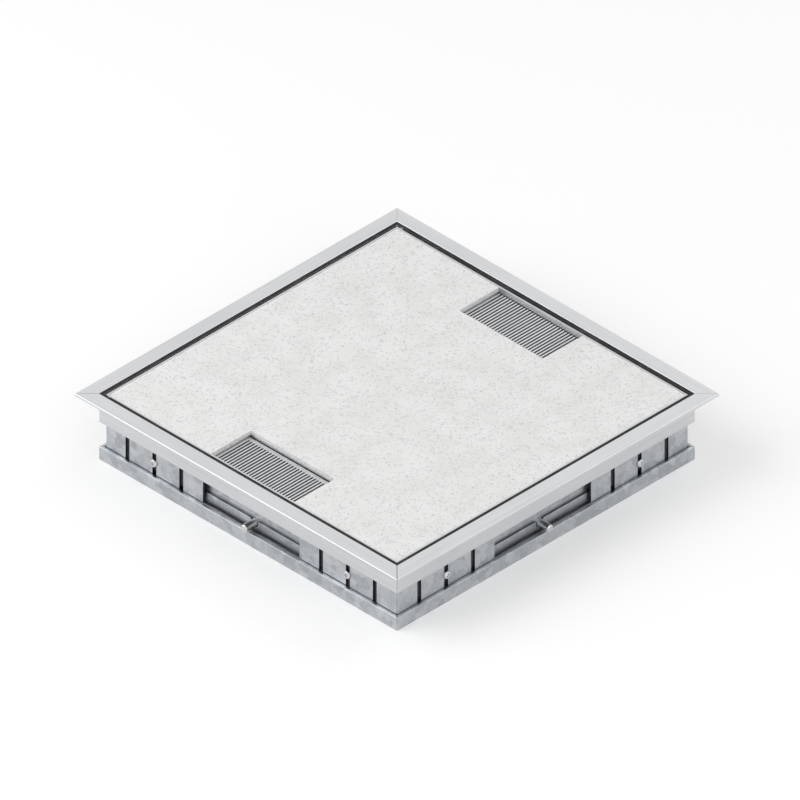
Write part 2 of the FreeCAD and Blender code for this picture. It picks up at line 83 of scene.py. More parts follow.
# Rows of points become quads; each row closes round, and so do the columns if loopRows is set.
# Capped puts a flat face on the first and last row
def patch(points, loopRows=False, capped=False):
    rows, columns = points.shape[:2]
    r, c = np.meshgrid(np.arange(rows if loopRows else rows - 1), np.arange(columns), indexing="ij")
    nextR, nextC = (r + 1) % rows, (c + 1) % columns
    here, above = r * columns, nextR * columns
    faces = np.stack([here + c, here + nextC, above + nextC, above + c], -1).reshape(-1, 4).tolist()
    if capped:
        faces += [list(range(columns)), list(range((rows - 1) * columns, rows * columns))]
    return points.reshape(-1, 3), faces


cutLimit = 0.48


# Each corner becomes a tangent arc: the cut is radius / tan(half angle), held under half of the shorter
# side, and the points swing from one side to the other
def roundCorners(corners, radius, steps):
    corner = np.asarray(corners, float)
    toLast = np.roll(corner, 1, 0) - corner
    toNext = np.roll(corner, -1, 0) - corner
    lastLength = np.linalg.norm(toLast, axis=1, keepdims=True)
    nextLength = np.linalg.norm(toNext, axis=1, keepdims=True)
    a, b = toLast / lastLength, toNext / nextLength
    half = np.arccos(np.clip((a * b).sum(1, keepdims=True), -1, 1)) / 2
    wanted = np.asarray(radius, float).reshape(-1, 1)
    cut = np.minimum(wanted / np.tan(half), cutLimit * np.minimum(lastLength, nextLength))
    reach = cut * np.tan(half) / np.sin(half)
    centre = corner + (a + b) / np.linalg.norm(a + b, axis=1, keepdims=True) * reach
    share = np.linspace(0, 1, steps)[None, :, None]
    first, last = (corner + a * cut - centre)[:, None], (corner + b * cut - centre)[:, None]
    swing = (math.pi - 2 * half)[:, None]
    arc = (np.sin((1 - share) * swing) * first + np.sin(share * swing) * last) / np.sin(swing)
    return (centre[:, None] + arc).reshape(-1, 2)


# Even angles once round
def roundAngles(steps):
    return np.linspace(0, 2 * math.pi, steps, endpoint=False)


# Rows of (radius, height), plain numbers or one for each angle, turned about the axis:
# x = r cos a, y = r sin a
def lathe(rows, steps):
    angle = roundAngles(steps)
    c, s = np.cos(angle), np.sin(angle)
    return np.stack([np.stack(np.broadcast_arrays(r * c, r * s, z), -1) for r, z in rows])


# A hexagon's radius over the angle: flat / cos(angle from the middle of the nearest flat)
def hexagon(flat, angle):
    return flat / np.cos((angle + math.pi / 6) % (math.pi / 3) - math.pi / 6)


# latch_stud_front becomes latchStudFront
def pieceName(node):
    first, *rest = node.split("_")
    return first + "".join(word.capitalize() for word in rest)


# The angles sharp, copySharp and flatWithin are in degrees
shellShape = {"sharp": 35.0, "copySharp": 40.0, "flatWithin": 1.0, "mergeWithin": 0.0001 * mm, "decimals": 4,
              "bevelSteps": 3, "weldWithin": 0.001 * mm, "levelWithin": 0.01, "flatWeight": 100}


# Points and faces as a shell that can be edited
def shellOf(points, faces):
    mesh = bpy.data.meshes.new("shell")
    mesh.from_pydata(points, [], faces)
    shell = bmesh.new()
    shell.from_mesh(mesh)
    bpy.data.meshes.remove(mesh)
    return shell


# The shell becomes a piece in place of its node: smooth up to the sharp angle, on the node's body
def settle(node, shell, finish, sharp, ride=True):
    mesh = bpy.data.meshes.new(pieceName(node))
    shell.to_mesh(mesh)
    shell.free()
    mesh.shade_smooth()
    mesh.set_sharp_from_angle(angle=math.radians(sharp))
    mesh.materials.append(finish)
    piece = bpy.data.objects.new(mesh.name, mesh)
    bpy.context.scene.collection.objects.link(piece)
    if ride:
        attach(piece, bodyOf[node])
    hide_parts(node)
    return piece


# The patches joined into one piece, with points that fall together made one
def addPiece(node, patches, finish, ride=True, sharp=shellShape["sharp"]):
    starts = np.cumsum([0] + [len(points) for points, quads in patches]).tolist()
    vertices = np.concatenate([points for points, quads in patches])
    faces = [[i + start for i in face] for (points, quads), start in zip(patches, starts) for face in quads]
    shell = shellOf(vertices, faces)
    bmesh.ops.remove_doubles(shell, verts=shell.verts, dist=shellShape["mergeWithin"])
    bmesh.ops.recalc_face_normals(shell, faces=shell.faces)
    return settle(node, shell, finish, sharp, ride)


# The node's triangles joined into whole flat faces
def wholeFaces(node):
    source = nodes[node].data
    places = np.empty(len(source.vertices) * 3)
    source.vertices.foreach_get("co", places)
    triangles = np.empty(len(source.loops), int)
    source.loops.foreach_get("vertex_index", triangles)
    rounded = np.round(places.reshape(-1, 3) / mm, shellShape["decimals"])
    merged, index = np.unique(rounded, axis=0, return_inverse=True)
    triangles = index.reshape(-1)[triangles].reshape(-1, 3)
    whole = (triangles != np.roll(triangles, 1, 1)).all(1)
    shell = shellOf(merged * mm, triangles[whole].tolist())
    flat = math.radians(shellShape["flatWithin"])
    bmesh.ops.dissolve_limit(shell, angle_limit=flat, verts=shell.verts, edges=shell.edges)
    bmesh.ops.recalc_face_normals(shell, faces=shell.faces)
    return shell


# Flat faces keep their own shading, and the roundings between them blend
def flatShading(piece):
    shading = piece.modifiers.new("flatFaces", "WEIGHTED_NORMAL")
    shading.weight = shellShape["flatWeight"]
    shading.keep_sharp = True


# The node's shape with its sharp edges rounded
def roundedCopy(node, width, finish):
    shape = shellShape
    piece = settle(node, wholeFaces(node), finish, shape["copySharp"])
    bevel = piece.modifiers.new("edge", "BEVEL")
    bevel.width = width
    bevel.segments = shape["bevelSteps"]
    bevel.limit_method = "ANGLE"
    bevel.angle_limit = math.radians(shape["copySharp"])
    bevel.harden_normals = True
    weld = piece.modifiers.new("weld", "WELD")
    weld.merge_threshold = shape["weldWithin"]


# A rail whose cut ends are eased: each mitre face is drawn in, and its outer ring slides back along
# the rail
def mitredCopy(node, width, finish):
    level = shellShape["levelWithin"]
    shell = wholeFaces(node)
    diagonal = [face for face in shell.faces if abs(abs(face.normal.x) - abs(face.normal.y)) < level
                and abs(face.normal.z) < level]
    ring = bmesh.ops.inset_region(shell, faces=diagonal, thickness=width, use_even_offset=True)["faces"]
    inner = {vert for face in diagonal for vert in face.verts}
    along = alongX if node.endswith(("front", "back")) else alongY
    for vert in {vert for face in ring for vert in face.verts} - inner:
        vert.co[along] -= math.copysign(width, vert.co[along])
    flatShading(settle(node, shell, finish, shellShape["copySharp"]))


# A wire is linked to the socket, and a plain value is set on it
def plug(slot, value):
    if isinstance(value, Wire):
        slot.id_data.links.new(value.socket, slot)
    else:
        slot.default_value = value


# A shader socket; a sum on wires adds its Math nodes
class Wire:
    def __init__(self, socket):
        self.socket = socket

    def math(self, operation, *values):
        node = self.socket.id_data.nodes.new("ShaderNodeMath")
        node.operation = operation
        for slot, value in zip(node.inputs, values):
            plug(slot, value)
        return Wire(node.outputs[0])

    def __add__(self, other):
        return self.math("ADD", self, other)

    def __radd__(self, other):
        return self.math("ADD", other, self)

    def __sub__(self, other):
        return self.math("SUBTRACT", self, other)

    def __rsub__(self, other):
        return self.math("SUBTRACT", other, self)

    def __mul__(self, other):
        return self.math("MULTIPLY", self, other)

    def __rmul__(self, other):
        return self.math("MULTIPLY", other, self)


# The sum of each wire times its share
def weighted(shares, *wires):
    total = wires[0] * shares[0]
    for share, wire in zip(shares[1:], wires[1:]):
        total = total + wire * share
    return total


# A material under construction: its tree, its main shader and the nodes that feed it
class Finish:
    def __init__(self, name, constants):
        self.material = bpy.data.materials.new(name)
        self.material.use_nodes = True
        self.tree = self.material.node_tree
        self.shader = self.tree.nodes["Principled BSDF"]
        self.feed(constants)
        self.place = self.node("ShaderNodeTexCoord", output="Object")

    def node(self, kind, settings=None, sockets=None, output=0):
        made = self.tree.nodes.new(kind)
        for key, value in (settings or {}).items():
            setattr(made, key, value)
        for key, value in (sockets or {}).items():
            plug(made.inputs[key], value)
        return Wire(made.outputs[output])

    def feed(self, sockets):
        for key, value in sockets.items():
            plug(self.shader.inputs[key], value)
        return self.material

    def stretched(self, scale):
        return self.node("ShaderNodeMapping", sockets={"Vector": self.place, "Scale": scale})

    def noise(self, scale, detail, vector=None, output=0):
        sockets = {"Vector": vector or self.place, "Scale": scale, "Detail": detail}
        return self.node("ShaderNodeTexNoise", sockets=sockets, output=output)

    # One random figure for each cell
    def chance(self, scale, vector=None):
        sockets = {"Vector": vector or self.place, "Scale": scale}
        colour = self.node("ShaderNodeTexVoronoi", sockets=sockets, output="Color")
        return self.node("ShaderNodeSeparateColor", sockets={"Color": colour}, output="Red")

    def between(self, value, low, high):
        return self.node("ShaderNodeMapRange", {"interpolation_type": "SMOOTHSTEP"},
                         {"Value": value, "From Min": low, "From Max": high})

    # The colours of a Mix node are its inputs 6 and 7 and its output 2
    def mix(self, factor, first, second):
        return self.node("ShaderNodeMix", {"data_type": "RGBA"}, {0: factor, 6: first, 7: second}, 2)

    def bump(self, height, strength, distance):
        return self.node("ShaderNodeBump", sockets={"Height": height, "Strength": strength,
                                                    "Distance": distance})


def tone(red, green, blue):
    return (red, green, blue, 1.0)


# In each look a noise is (scale, detail), cells have a scale, a range is (from, to) and a bump is
# (strength, depth). Shade, rough and relief weigh the patterns in the order in which the function names them
anodisedLook = {"pale": tone(0.70, 0.705, 0.715), "dark": tone(0.55, 0.56, 0.575),
                "along": 14.0, "across": 2600.0, "lines": (1.0, 4.0), "marks": (28.0, 5.0),
                "grain": (5200.0, 2.0), "lineRange": (0.32, 0.68), "shade": (0.6, 0.4), "roughness": 0.28,
                "rough": (0.16, 0.08), "relief": (0.7, 0.3), "bump": (0.12, 0.02 * mm)}


# Clear-anodised extrusion: fine draw lines along the rail, and soft handling marks
def anodised(name, direction):
    look = anodisedLook
    finish = Finish(name, {"Metallic": 1.0})
    lengthwise = [look["across"]] * 3
    lengthwise[direction] = look["along"]
    lines = finish.noise(*look["lines"], finish.stretched(lengthwise))
    marks = finish.noise(*look["marks"])
    grain = finish.noise(*look["grain"])
    shade = weighted(look["shade"], finish.between(lines, *look["lineRange"]), marks)
    return finish.feed({
        "Base Color": finish.mix(shade, look["dark"], look["pale"]),
        "Roughness": look["roughness"] + weighted(look["rough"], lines, marks),
        "Normal": finish.bump(weighted(look["relief"], lines, grain), *look["bump"])})


satinLook = {"pale": tone(0.66, 0.67, 0.685), "dark": tone(0.54, 0.55, 0.57), "grain": (3800.0, 3.0),
             "cloud": (45.0, 4.0), "shade": (0.6, 0.4), "roughness": 0.34, "rough": (0.06, 0.14),
             "bump": (0.18, 0.02 * mm)}


# Bead-blasted and anodised plate: fine grain under soft clouds
def satinPlate(name):
    look = satinLook
    finish = Finish(name, {"Metallic": 1.0})
    grain = finish.noise(*look["grain"])
    cloud = finish.noise(*look["cloud"])
    return finish.feed({
        "Base Color": finish.mix(weighted(look["shade"], cloud, grain), look["dark"], look["pale"]),
        "Roughness": look["roughness"] + weighted(look["rough"], cloud, grain),
        "Normal": finish.bump(grain, *look["bump"])})


# The cut tone and its range are painted shade for the plates' cut edges
galvanisedLook = {"bright": tone(0.60, 0.62, 0.635), "dull": tone(0.35, 0.37, 0.395), "spangle": 170.0,
                  "smallSpangle": 527.0, "sway": (420.0, 3.0), "swayReach": 0.004, "feather": (1500.0, 5.0),
                  "shade": (0.5, 0.22, 0.28), "roughness": 0.52, "smoother": (0.16, 0.06), "rougher": 0.06,
                  "relief": (0.5, 0.5), "bump": (0.14, 0.03 * mm), "cut": tone(0.12, 0.122, 0.128),
                  "edgeShadeRange": (0.2, 0.5)}


# Hot-dip zinc: crystal patches that each catch the light in their own way, with feathery edges.
# A plate that faces along an axis is coloured near black where its surface turns off that axis, at its cut
# edges: painted shade that stands for a shadow line there, darker than their bare steel would be
def galvanised(name, facing=None):
    look = galvanisedLook
    finish = Finish(name, {"Metallic": 1.0})
    sway = finish.noise(*look["sway"], output="Color")
    swayed = finish.node("ShaderNodeVectorMath", {"operation": "MULTIPLY_ADD"},
                         {0: sway, 1: [look["swayReach"]] * 3, 2: finish.place})
    crystal = finish.chance(look["spangle"], swayed)
    small = finish.chance(look["smallSpangle"], swayed)
    feather = finish.noise(*look["feather"])
    colour = finish.mix(weighted(look["shade"], crystal, small, feather), look["dull"], look["bright"])
    # Painted shade: where the surface turns off the plate's axis it takes the near-black cut tone
    if facing:
        normal = finish.node("ShaderNodeTexCoord", output="Normal")
        share = finish.node("ShaderNodeVectorMath", {"operation": "DOT_PRODUCT"}, {0: normal, 1: facing},
                            "Value")
        zinc = finish.between(share.math("ABSOLUTE", share), *look["edgeShadeRange"])
        colour = finish.mix(zinc, look["cut"], colour)
    smoother = weighted(look["smoother"], crystal, small)
    return finish.feed({
        "Base Color": colour,
        "Roughness": look["roughness"] - smoother + feather * look["rougher"],
        "Normal": finish.bump(weighted(look["relief"], feather, small), *look["bump"])})


zincLook = {"cool": tone(0.60, 0.63, 0.66), "warm": tone(0.66, 0.635, 0.58), "turning": (3800.0, 3.0),
            "tint": (260.0, 3.0), "tintRange": (0.35, 0.7), "roughness": 0.16, "rough": (0.14, 0.10),
            "bump": (0.10, 0.02 * mm)}


# Bright zinc plate with a faint tint. The fine rings run round the box's upright axis, so on a pin or screw
# that faces out of a side they lie across it like turning marks
def zincPlated(name):
    look = zincLook
    finish = Finish(name, {"Metallic": 1.0})
    outward = finish.node("ShaderNodeVectorMath", {"operation": "LENGTH"},
                          {0: finish.stretched((1.0, 1.0, 0.0))}, "Value")
    scale, detail = look["turning"]
    rings = finish.node("ShaderNodeTexNoise", {"noise_dimensions": "1D"},
                        {"W": outward, "Scale": scale, "Detail": detail})
    tint = finish.noise(*look["tint"])
    return finish.feed({
        "Base Color": finish.mix(finish.between(tint, *look["tintRange"]), look["cool"], look["warm"]),
        "Roughness": look["roughness"] + weighted(look["rough"], rings, tint),
        "Normal": finish.bump(rings, *look["bump"])})


wireLook = {"blue": tone(0.22, 0.235, 0.26), "grey": tone(0.40, 0.40, 0.405), "drawn": (1400.0, 4.0),
            "film": (240.0, 3.0), "shade": (0.6, 0.4), "shadeRange": (0.3, 0.7), "roughness": 0.20,
            "rough": 0.22, "bump": (0.15, 0.02 * mm)}


# Oiled spring wire: fine drawn grain under a cloudy film
def springWire(name):
    look = wireLook
    finish = Finish(name, {"Metallic": 1.0})
    drawn = finish.noise(*look["drawn"])
    film = finish.noise(*look["film"])
    shade = finish.between(weighted(look["shade"], film, drawn), *look["shadeRange"])
    return finish.feed({
        "Base Color": finish.mix(shade, look["blue"], look["grey"]),
        "Roughness": look["roughness"] + drawn * look["rough"],
        "Normal": finish.bump(drawn, *look["bump"])})


phosphateLook = {"deep": tone(0.022, 0.022, 0.024), "grey": tone(0.075, 0.075, 0.08), "shine": 0.4,
                 "crystal": 2400.0, "cloud": (90.0, 4.0), "shade": (0.4, 0.6), "roughness": 0.50,
                 "rough": (0.18, 0.10), "bump": (0.2, 0.02 * mm)}


# Black phosphate: fine crystals, dull and slightly uneven
def phosphated(name):
    look = phosphateLook
    finish = Finish(name, {"Specular IOR Level": look["shine"]})
    crystal = finish.chance(look["crystal"])
    cloud = finish.noise(*look["cloud"])
    return finish.feed({
        "Base Color": finish.mix(weighted(look["shade"], crystal, cloud), look["deep"], look["grey"]),
        "Roughness": look["roughness"] + weighted(look["rough"], crystal, cloud),
        "Normal": finish.bump(crystal, *look["bump"])})


rubberLook = {"black": tone(0.012, 0.012, 0.013), "grey": tone(0.05, 0.05, 0.052), "shine": 0.35,
              "grain": (4200.0, 2.0), "bloom": (120.0, 5.0), "bloomRange": (0.45, 0.8), "roughness": 0.62,
              "rough": (0.2, 0.1), "bump": (0.25, 0.03 * mm)}


# Black rubber with a grey bloom and a fine moulded grain
def rubber(name):
    look = rubberLook
    finish = Finish(name, {"Specular IOR Level": look["shine"]})
    grain = finish.noise(*look["grain"])
    bloom = finish.noise(*look["bloom"])
    return finish.feed({
        "Base Color": finish.mix(finish.between(bloom, *look["bloomRange"]), look["black"], look["grey"]),
        "Roughness": look["roughness"] + weighted(look["rough"], grain, bloom),
        "Normal": finish.bump(grain, *look["bump"])})


vinylLook = {"ground": tone(0.79, 0.79, 0.78), "light": tone(0.85, 0.85, 0.845), "shine": 0.4,
             "cloud": (60.0, 4.0), "cloudRange": (0.3, 0.7), "skin": (1900.0, 3.0), "roughness": 0.50,
             "rough": (0.14, 0.05), "bump": (0.16, 0.04 * mm)}
chipLooks = {"pale": {"scale": 656.0, "range": (0.86, 0.88), "share": 0.6, "tone": vinylLook["light"]},
             "grey": {"scale": 820.0, "range": (0.86, 0.88), "share": 0.55, "tone": tone(0.62, 0.63, 0.63)},
             "deep": {"scale": 1394.0, "range": (0.955, 0.965), "share": 0.6, "tone": tone(0.42, 0.43, 0.44)}}


# Flecked floor covering: pale ground, small angular chips where a cell's chance is high, an embossed skin
def flecked(name):
    look = vinylLook
    finish = Finish(name, {"Specular IOR Level": look["shine"]})
    cloud = finish.noise(*look["cloud"])
    colour = finish.mix(finish.between(cloud, *look["cloudRange"]), look["ground"], look["light"])
    chips = {}
    for kind, chip in chipLooks.items():
        chips[kind] = finish.between(finish.chance(chip["scale"]), *chip["range"])
        colour = finish.mix(chips[kind] * chip["share"], colour, chip["tone"])
    skin = finish.noise(*look["skin"])
    return finish.feed({
        "Base Color": colour,
        "Roughness": look["roughness"] + weighted(look["rough"], skin, chips["grey"]),
        "Normal": finish.bump(skin, *look["bump"])})


plasticLook = {"dark": (tone(0.035, 0.035, 0.038), tone(0.06, 0.06, 0.064)), "shine": 0.45,
               "pale": (tone(0.68, 0.68, 0.66), tone(0.76, 0.76, 0.745)), "texture": (2600.0, 3.0),
               "flow": (35.0, 3.0), "shade": (0.7, 0.3), "roughness": 0.46, "rough": 0.2,
               "bump": (0.22, 0.03 * mm)}


# Moulded plastic with a fine eroded texture
def moulded(name, low, high):
    look = plasticLook
    finish = Finish(name, {"Specular IOR Level": look["shine"]})
    texture = finish.noise(*look["texture"])
    flow = finish.noise(*look["flow"])
    return finish.feed({
        "Base Color": finish.mix(weighted(look["shade"], flow, texture), low, high),
        "Roughness": look["roughness"] + texture * look["rough"],
        "Normal": finish.bump(texture, *look["bump"])})


brassLook = {"bright": tone(0.80, 0.62, 0.28), "aged": tone(0.46, 0.33, 0.15), "tarnish": (320.0, 5.0),
             "grain": (2600.0, 2.0), "tarnishRange": (0.4, 0.75), "roughness": 0.22, "rough": (0.22, 0.06),
             "bump": (0.12, 0.02 * mm)}


# Turned brass, duller and browner where it is tarnished
def brass(name):
    look = brassLook
    finish = Finish(name, {"Metallic": 1.0})
    tarnish = finish.noise(*look["tarnish"])
    grain = finish.noise(*look["grain"])
    shade = finish.between(tarnish, *look["tarnishRange"])
    return finish.feed({
        "Base Color": finish.mix(shade, look["bright"], look["aged"]),
        "Roughness": look["roughness"] + weighted(look["rough"], tarnish, grain),
        "Normal": finish.bump(grain, *look["bump"])})


# The finish of the front and back, and that of the right and left
def sidePairs(frontBack, rightLeft):
    return {"front": frontBack, "right": rightLeft, "back": frontBack, "left": rightLeft}


railFinish = sidePairs(anodised("anodisedAlongX", alongX), anodised("anodisedAlongY", alongY))
flapFinish = anodised("anodisedFlap", alongY)
galvanisedSteel = galvanised("galvanisedSteel")
# Plates whose cut edges carry painted shade
edgeShadedPlateFinish = sidePairs(galvanised("edgeShadedPlateFacingY", (0, 1, 0)), galvanised("edgeShadedPlateFacingX", (1, 0, 0)))
zincSteel = zincPlated("zincSteel")
springSteel = springWire("springSteel")
blackSteel = phosphated("blackSteel")
blackRubber = rubber("blackRubber")
satinAluminium = satinPlate("satinAluminium")
floorVinyl = flecked("floorVinyl")
darkPlastic = moulded("darkPlastic", *plasticLook["dark"])
palePlastic = moulded("palePlastic", *plasticLook["pale"])
plainBrass = brass("plainBrass")
print("finishes made")

# Rounding of the edges of cut sheet, extrusions and mouldings
edgeWidth = {"mitre": 0.15 * mm, "sheet": 0.18 * mm, "tray": 0.22 * mm, "inlay": 0.25 * mm,
             "moulding": 0.35 * mm, "pin": 0.15 * mm}

for side in sideTurns:
    mitredCopy("frame_rail_" + side, edgeWidth["mitre"], railFinish[side])
    mitredCopy("base_rail_" + side, edgeWidth["mitre"], galvanisedSteel)
    roundedCopy("wall_panel_" + side, edgeWidth["sheet"], edgeShadedPlateFinish[side])
    roundedCopy("latch_body_" + side, edgeWidth["sheet"], galvanisedSteel)
    roundedCopy("latch_keeper_" + side, edgeWidth["sheet"], edgeShadedPlateFinish[side])
    roundedCopy("levelling_brackets_" + side, edgeWidth["sheet"], blackSteel)
for hand in ("left", "right"):
    roundedCopy("lid_stiffener_" + hand, edgeWidth["sheet"], galvanisedSteel)
for side in ("front", "back"):
    roundedCopy("outlet_frame_" + side, edgeWidth["moulding"], darkPlastic)
    roundedCopy("flap_pin_" + side, edgeWidth["pin"], zincSteel)
roundedCopy("corner_gussets", edgeWidth["sheet"], blackSteel)
roundedCopy("lid_tray", edgeWidth["tray"], satinAluminium)
roundedCopy("lid_inlay", edgeWidth["inlay"], floorVinyl)
roundedCopy("lid_pins", edgeWidth["pin"], zincSteel)
# The seal and the bent carriers keep the frame's shape and only take a finish
ownFinish = {"lid_seal": blackRubber, "device_carrier_left": galvanisedSteel,
             "device_carrier_right": galvanisedSteel}
for node, finish in ownFinish.items():
    nodes[node].data.materials.clear()
    nodes[node].data.materials.append(finish)
print("plates, rails and mouldings dressed")

studShape = {"radius": 2.5 * mm, "tailRadius": 1.5 * mm, "collarRadius": 4.3 * mm, "collarSet": 1.6 * mm,
             "collarThick": 2.5 * mm, "nose": 0.9 * mm, "edge": 0.2 * mm, "edgeSteps": 7, "around": 48}


# Stepped pin: thin tail, collar, and a shank with a rounded nose, as one turned outline from axis to axis
def latchStud(side):
    shape = studShape
    low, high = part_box("latch_stud_front")
    plateFace = -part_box("latch_body_front")[0].y
    tail, tip = -high.y, -low.y
    front = plateFace - shape["collarSet"]
    back = front - shape["collarThick"]
    shank, thin, collar = shape["radius"], shape["tailRadius"], shape["collarRadius"]
    corners = [(0, tail), (thin, tail), (thin, back), (collar, back), (collar, front), (shank, front),
               (shank, tip), (0, tip)]
    radii = [shape["edge"]] * len(corners)
    radii[-2] = shape["nose"]
    steps = shape["edgeSteps"]
    turns = roundCorners(corners, radii, steps)[steps:-steps]
    outline = np.vstack([corners[0], turns, corners[-1]])
    points = facingOut(lathe(outline, shape["around"]), 0, 0, (low.z + high.z) / 2, side)
    addPiece("latch_stud_" + side, [patch(points)], zincSteel)


springShape = {"turns": 5.5, "wire": 0.8 * mm, "outer": 7.2 * mm, "closedTurns": 0.9, "stepsPerTurn": 30,
               "around": 10}


# Coil with closed, ground ends: the height runs slowly over the end turns and faster between them
def latchSpring(side):
    shape = springShape
    low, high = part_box("latch_spring_front")
    studLow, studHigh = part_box("latch_stud_front")
    height = (studLow.z + studHigh.z) / 2
    start, end = -high.y, -low.y
    wire, radius = shape["wire"] / 2, (shape["outer"] - shape["wire"]) / 2
    turn = np.linspace(0, shape["turns"], int(shape["turns"] * shape["stepsPerTurn"]) + 1)[:, None]
    closedRise = shape["closedTurns"] * shape["wire"]
    knots = [0, shape["closedTurns"], shape["turns"] - shape["closedTurns"], shape["turns"]]
    rise = np.interp(turn, knots, [0, closedRise, end - start - closedRise, end - start])
    around = roundAngles(shape["around"])
    r = radius + wire * np.cos(around)
    angle = 2 * math.pi * turn
    along = np.clip(rise + wire * np.sin(around), 0, end - start)
    points = np.stack([r * np.cos(angle), r * np.sin(angle), along], -1)
    points = facingOut(points, 0, start, height, side)
    piece = addPiece("latch_spring_" + side, [patch(points, capped=True)], springSteel, ride=False)
    ends = onSide(np.zeros(2), np.array([start, end]), np.full(2, height), side)
    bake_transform(piece)


screwShape = {"head": 2.6 * mm, "rise": 1.6 * mm, "skirt": 0.35, "bow": 5, "crown": 2.4, "rim": 0.05,
              "shank": 1.45 * mm, "tip": 0.2 * mm, "around": 96, "rings": 12, "socket": 1.15 * mm,
              "socketDepth": 0.9 * mm, "cross": 0.34 * mm, "crossReach": 1.5 * mm, "leastSine": 0.01,
              "break": 0.07 * mm, "sharp": 40.0}


# Pan head: height = rise (skirt + (1 - skirt) (1 - (r/head)^bow)^(1/crown)). The socket's outline is a radius
# over the angle: a hexagon, or for a cross the nearer of reach / cos and width / sin. Rings run from it to
# the rim
def screw(length, socket):
    shape = screwShape
    head, rise, shank, ease = shape["head"], shape["rise"], shape["shank"], shape["break"]
    angle = roundAngles(shape["around"])
    if socket == "hexagon":
        outline = hexagon(shape["socket"], angle)
    else:
        fromArm = np.abs((angle + math.pi / 4) % (math.pi / 2) - math.pi / 4)
        armSide = shape["cross"] / np.maximum(np.sin(fromArm), shape["leastSine"])
        outline = np.minimum(shape["crossReach"] / np.cos(fromArm), armSide)
    share = np.linspace(0, 1, shape["rings"])[:, None]
    r = (1 - share) * (outline + ease) + share * head
    bowed = np.clip(1 - (r / head) ** shape["bow"], 0, 1) ** (1 / shape["crown"])
    crown = rise * (shape["skirt"] + (1 - shape["skirt"]) * bowed)
    floor, rim, tip = rise - shape["socketDepth"], shape["rim"] * rise, shape["tip"]
    rows = [(0, floor), (outline - ease, floor), (outline, crown[0] - ease), *zip(r, crown),
            (head, rim), (head - rim, 0), (shank, 0), (shank, tip - length), (shank - tip, -length),
            (0, -length)]
    return lathe(rows, shape["around"])


# Screws of one kind joined into one piece
def addScrews(node, screws):
    addPiece(node, [patch(points) for points in screws], zincSteel, sharp=screwShape["sharp"])


clampPlaces = {"offset": 79.2 * mm, "face": 119.5 * mm, "height": 17.6 * mm, "length": 5.5 * mm}
gussetPlaces = {"near": 106.9 * mm, "far": 113.95 * mm, "height": 36.7 * mm, "length": 3.1 * mm}
carrierPlaces = {"x": (43 * mm, 87 * mm), "y": 102.9 * mm, "height": 3.5 * mm, "length": 3.2 * mm}


# A shape at each of the eight clamps, facing out
def atClamps(points, face):
    place = clampPlaces
    return [facingOut(points, t, face, place["height"], side) for side in sideTurns
            for t in (-place["offset"], place["offset"])]


def clampScrews():
    made = screw(clampPlaces["length"], "hexagon")
    addScrews("clamp_screws", atClamps(made, clampPlaces["face"]))


# Two screws at each corner, head down
def gussetScrews():
    place = gussetPlaces
    made = screw(place["length"], "cross") * np.array([1, -1, -1])
    spots = [(place["near"], place["far"]), (place["far"], place["near"])]
    screws = [turned(made + np.array([t, -n, place["height"]]), side) for side in sideTurns for t, n in spots]
    addScrews("gusset_screws", screws)


# Four screws on each carrier, head up
def carrierScrews():
    place = carrierPlaces
    made = screw(place["length"], "cross")
    spots = [(hand * x, end * place["y"]) for hand in (-1, 1) for x in place["x"] for end in (-1, 1)]
    screws = [made + np.array([x, y, place["height"]]) for x, y in spots]
    addScrews("carrier_screws", screws)


nutShape = {"across": 5.5 * mm, "thick": 2.4 * mm, "hole": 1.5 * mm, "face": 114.0 * mm, "chamfer": 0.58,
            "chamferFrom": 0.97, "around": 72}


# Hexagon nut: the corners drop by their reach past the circle that the chamfer starts from
def clampNuts():
    shape = nutShape
    flat, thick, hole = shape["across"] / 2, shape["thick"], shape["hole"]
    circle = shape["chamferFrom"] * flat
    rim = hexagon(flat, roundAngles(shape["around"]))
    drop = (rim - circle) * shape["chamfer"]
    rows = [(hole, 0), (hole, thick), (circle, thick), (rim, thick - drop), (rim, drop), (circle, 0)]
    nuts = atClamps(lathe(rows, shape["around"]), shape["face"])
    addPiece("clamp_nuts", [patch(points, loopRows=True) for points in nuts], zincSteel)


capShape = {"radius": 4.67 * mm, "hole": 1.58 * mm, "thick": 2.0 * mm, "dish": 0.5 * mm, "dishFloor": 0.35,
            "dishRim": 0.85, "edge": 0.15 * mm, "edgeSteps": 3, "around": 48}


# Pressed-in barrel cap: a ring with a dished outer face
def latchCaps():
    shape = capShape
    low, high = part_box("latch_stud_front")
    barrelEnd = -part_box("latch_body_front")[1].y
    radius, hole, dish, thick = shape["radius"], shape["hole"], shape["dish"], shape["thick"]
    dished = hole + shape["dishFloor"] * (radius - hole)
    corners = [(hole, dish), (dished, dish), (shape["dishRim"] * radius, 0), (radius, 0), (radius, thick),
               (hole, thick)]
    ring = lathe(roundCorners(corners, shape["edge"], shape["edgeSteps"]), shape["around"])
    patches = [patch(facingOut(ring, 0, barrelEnd, (low.z + high.z) / 2, side), loopRows=True)
               for side in sideTurns]
    addPiece("latch_caps", patches, zincSteel)


earthShape = {"x": 107 * mm, "y": -97 * mm, "floor": 2.0 * mm, "washer": 4.5 * mm, "hole": 1.6 * mm,
              "thick": 1.0 * mm, "teeth": 16, "toothDepth": 0.22 * mm, "toothEdge": 3, "ease": 0.15 * mm,
              "around": 128, "length": 2.7 * mm}


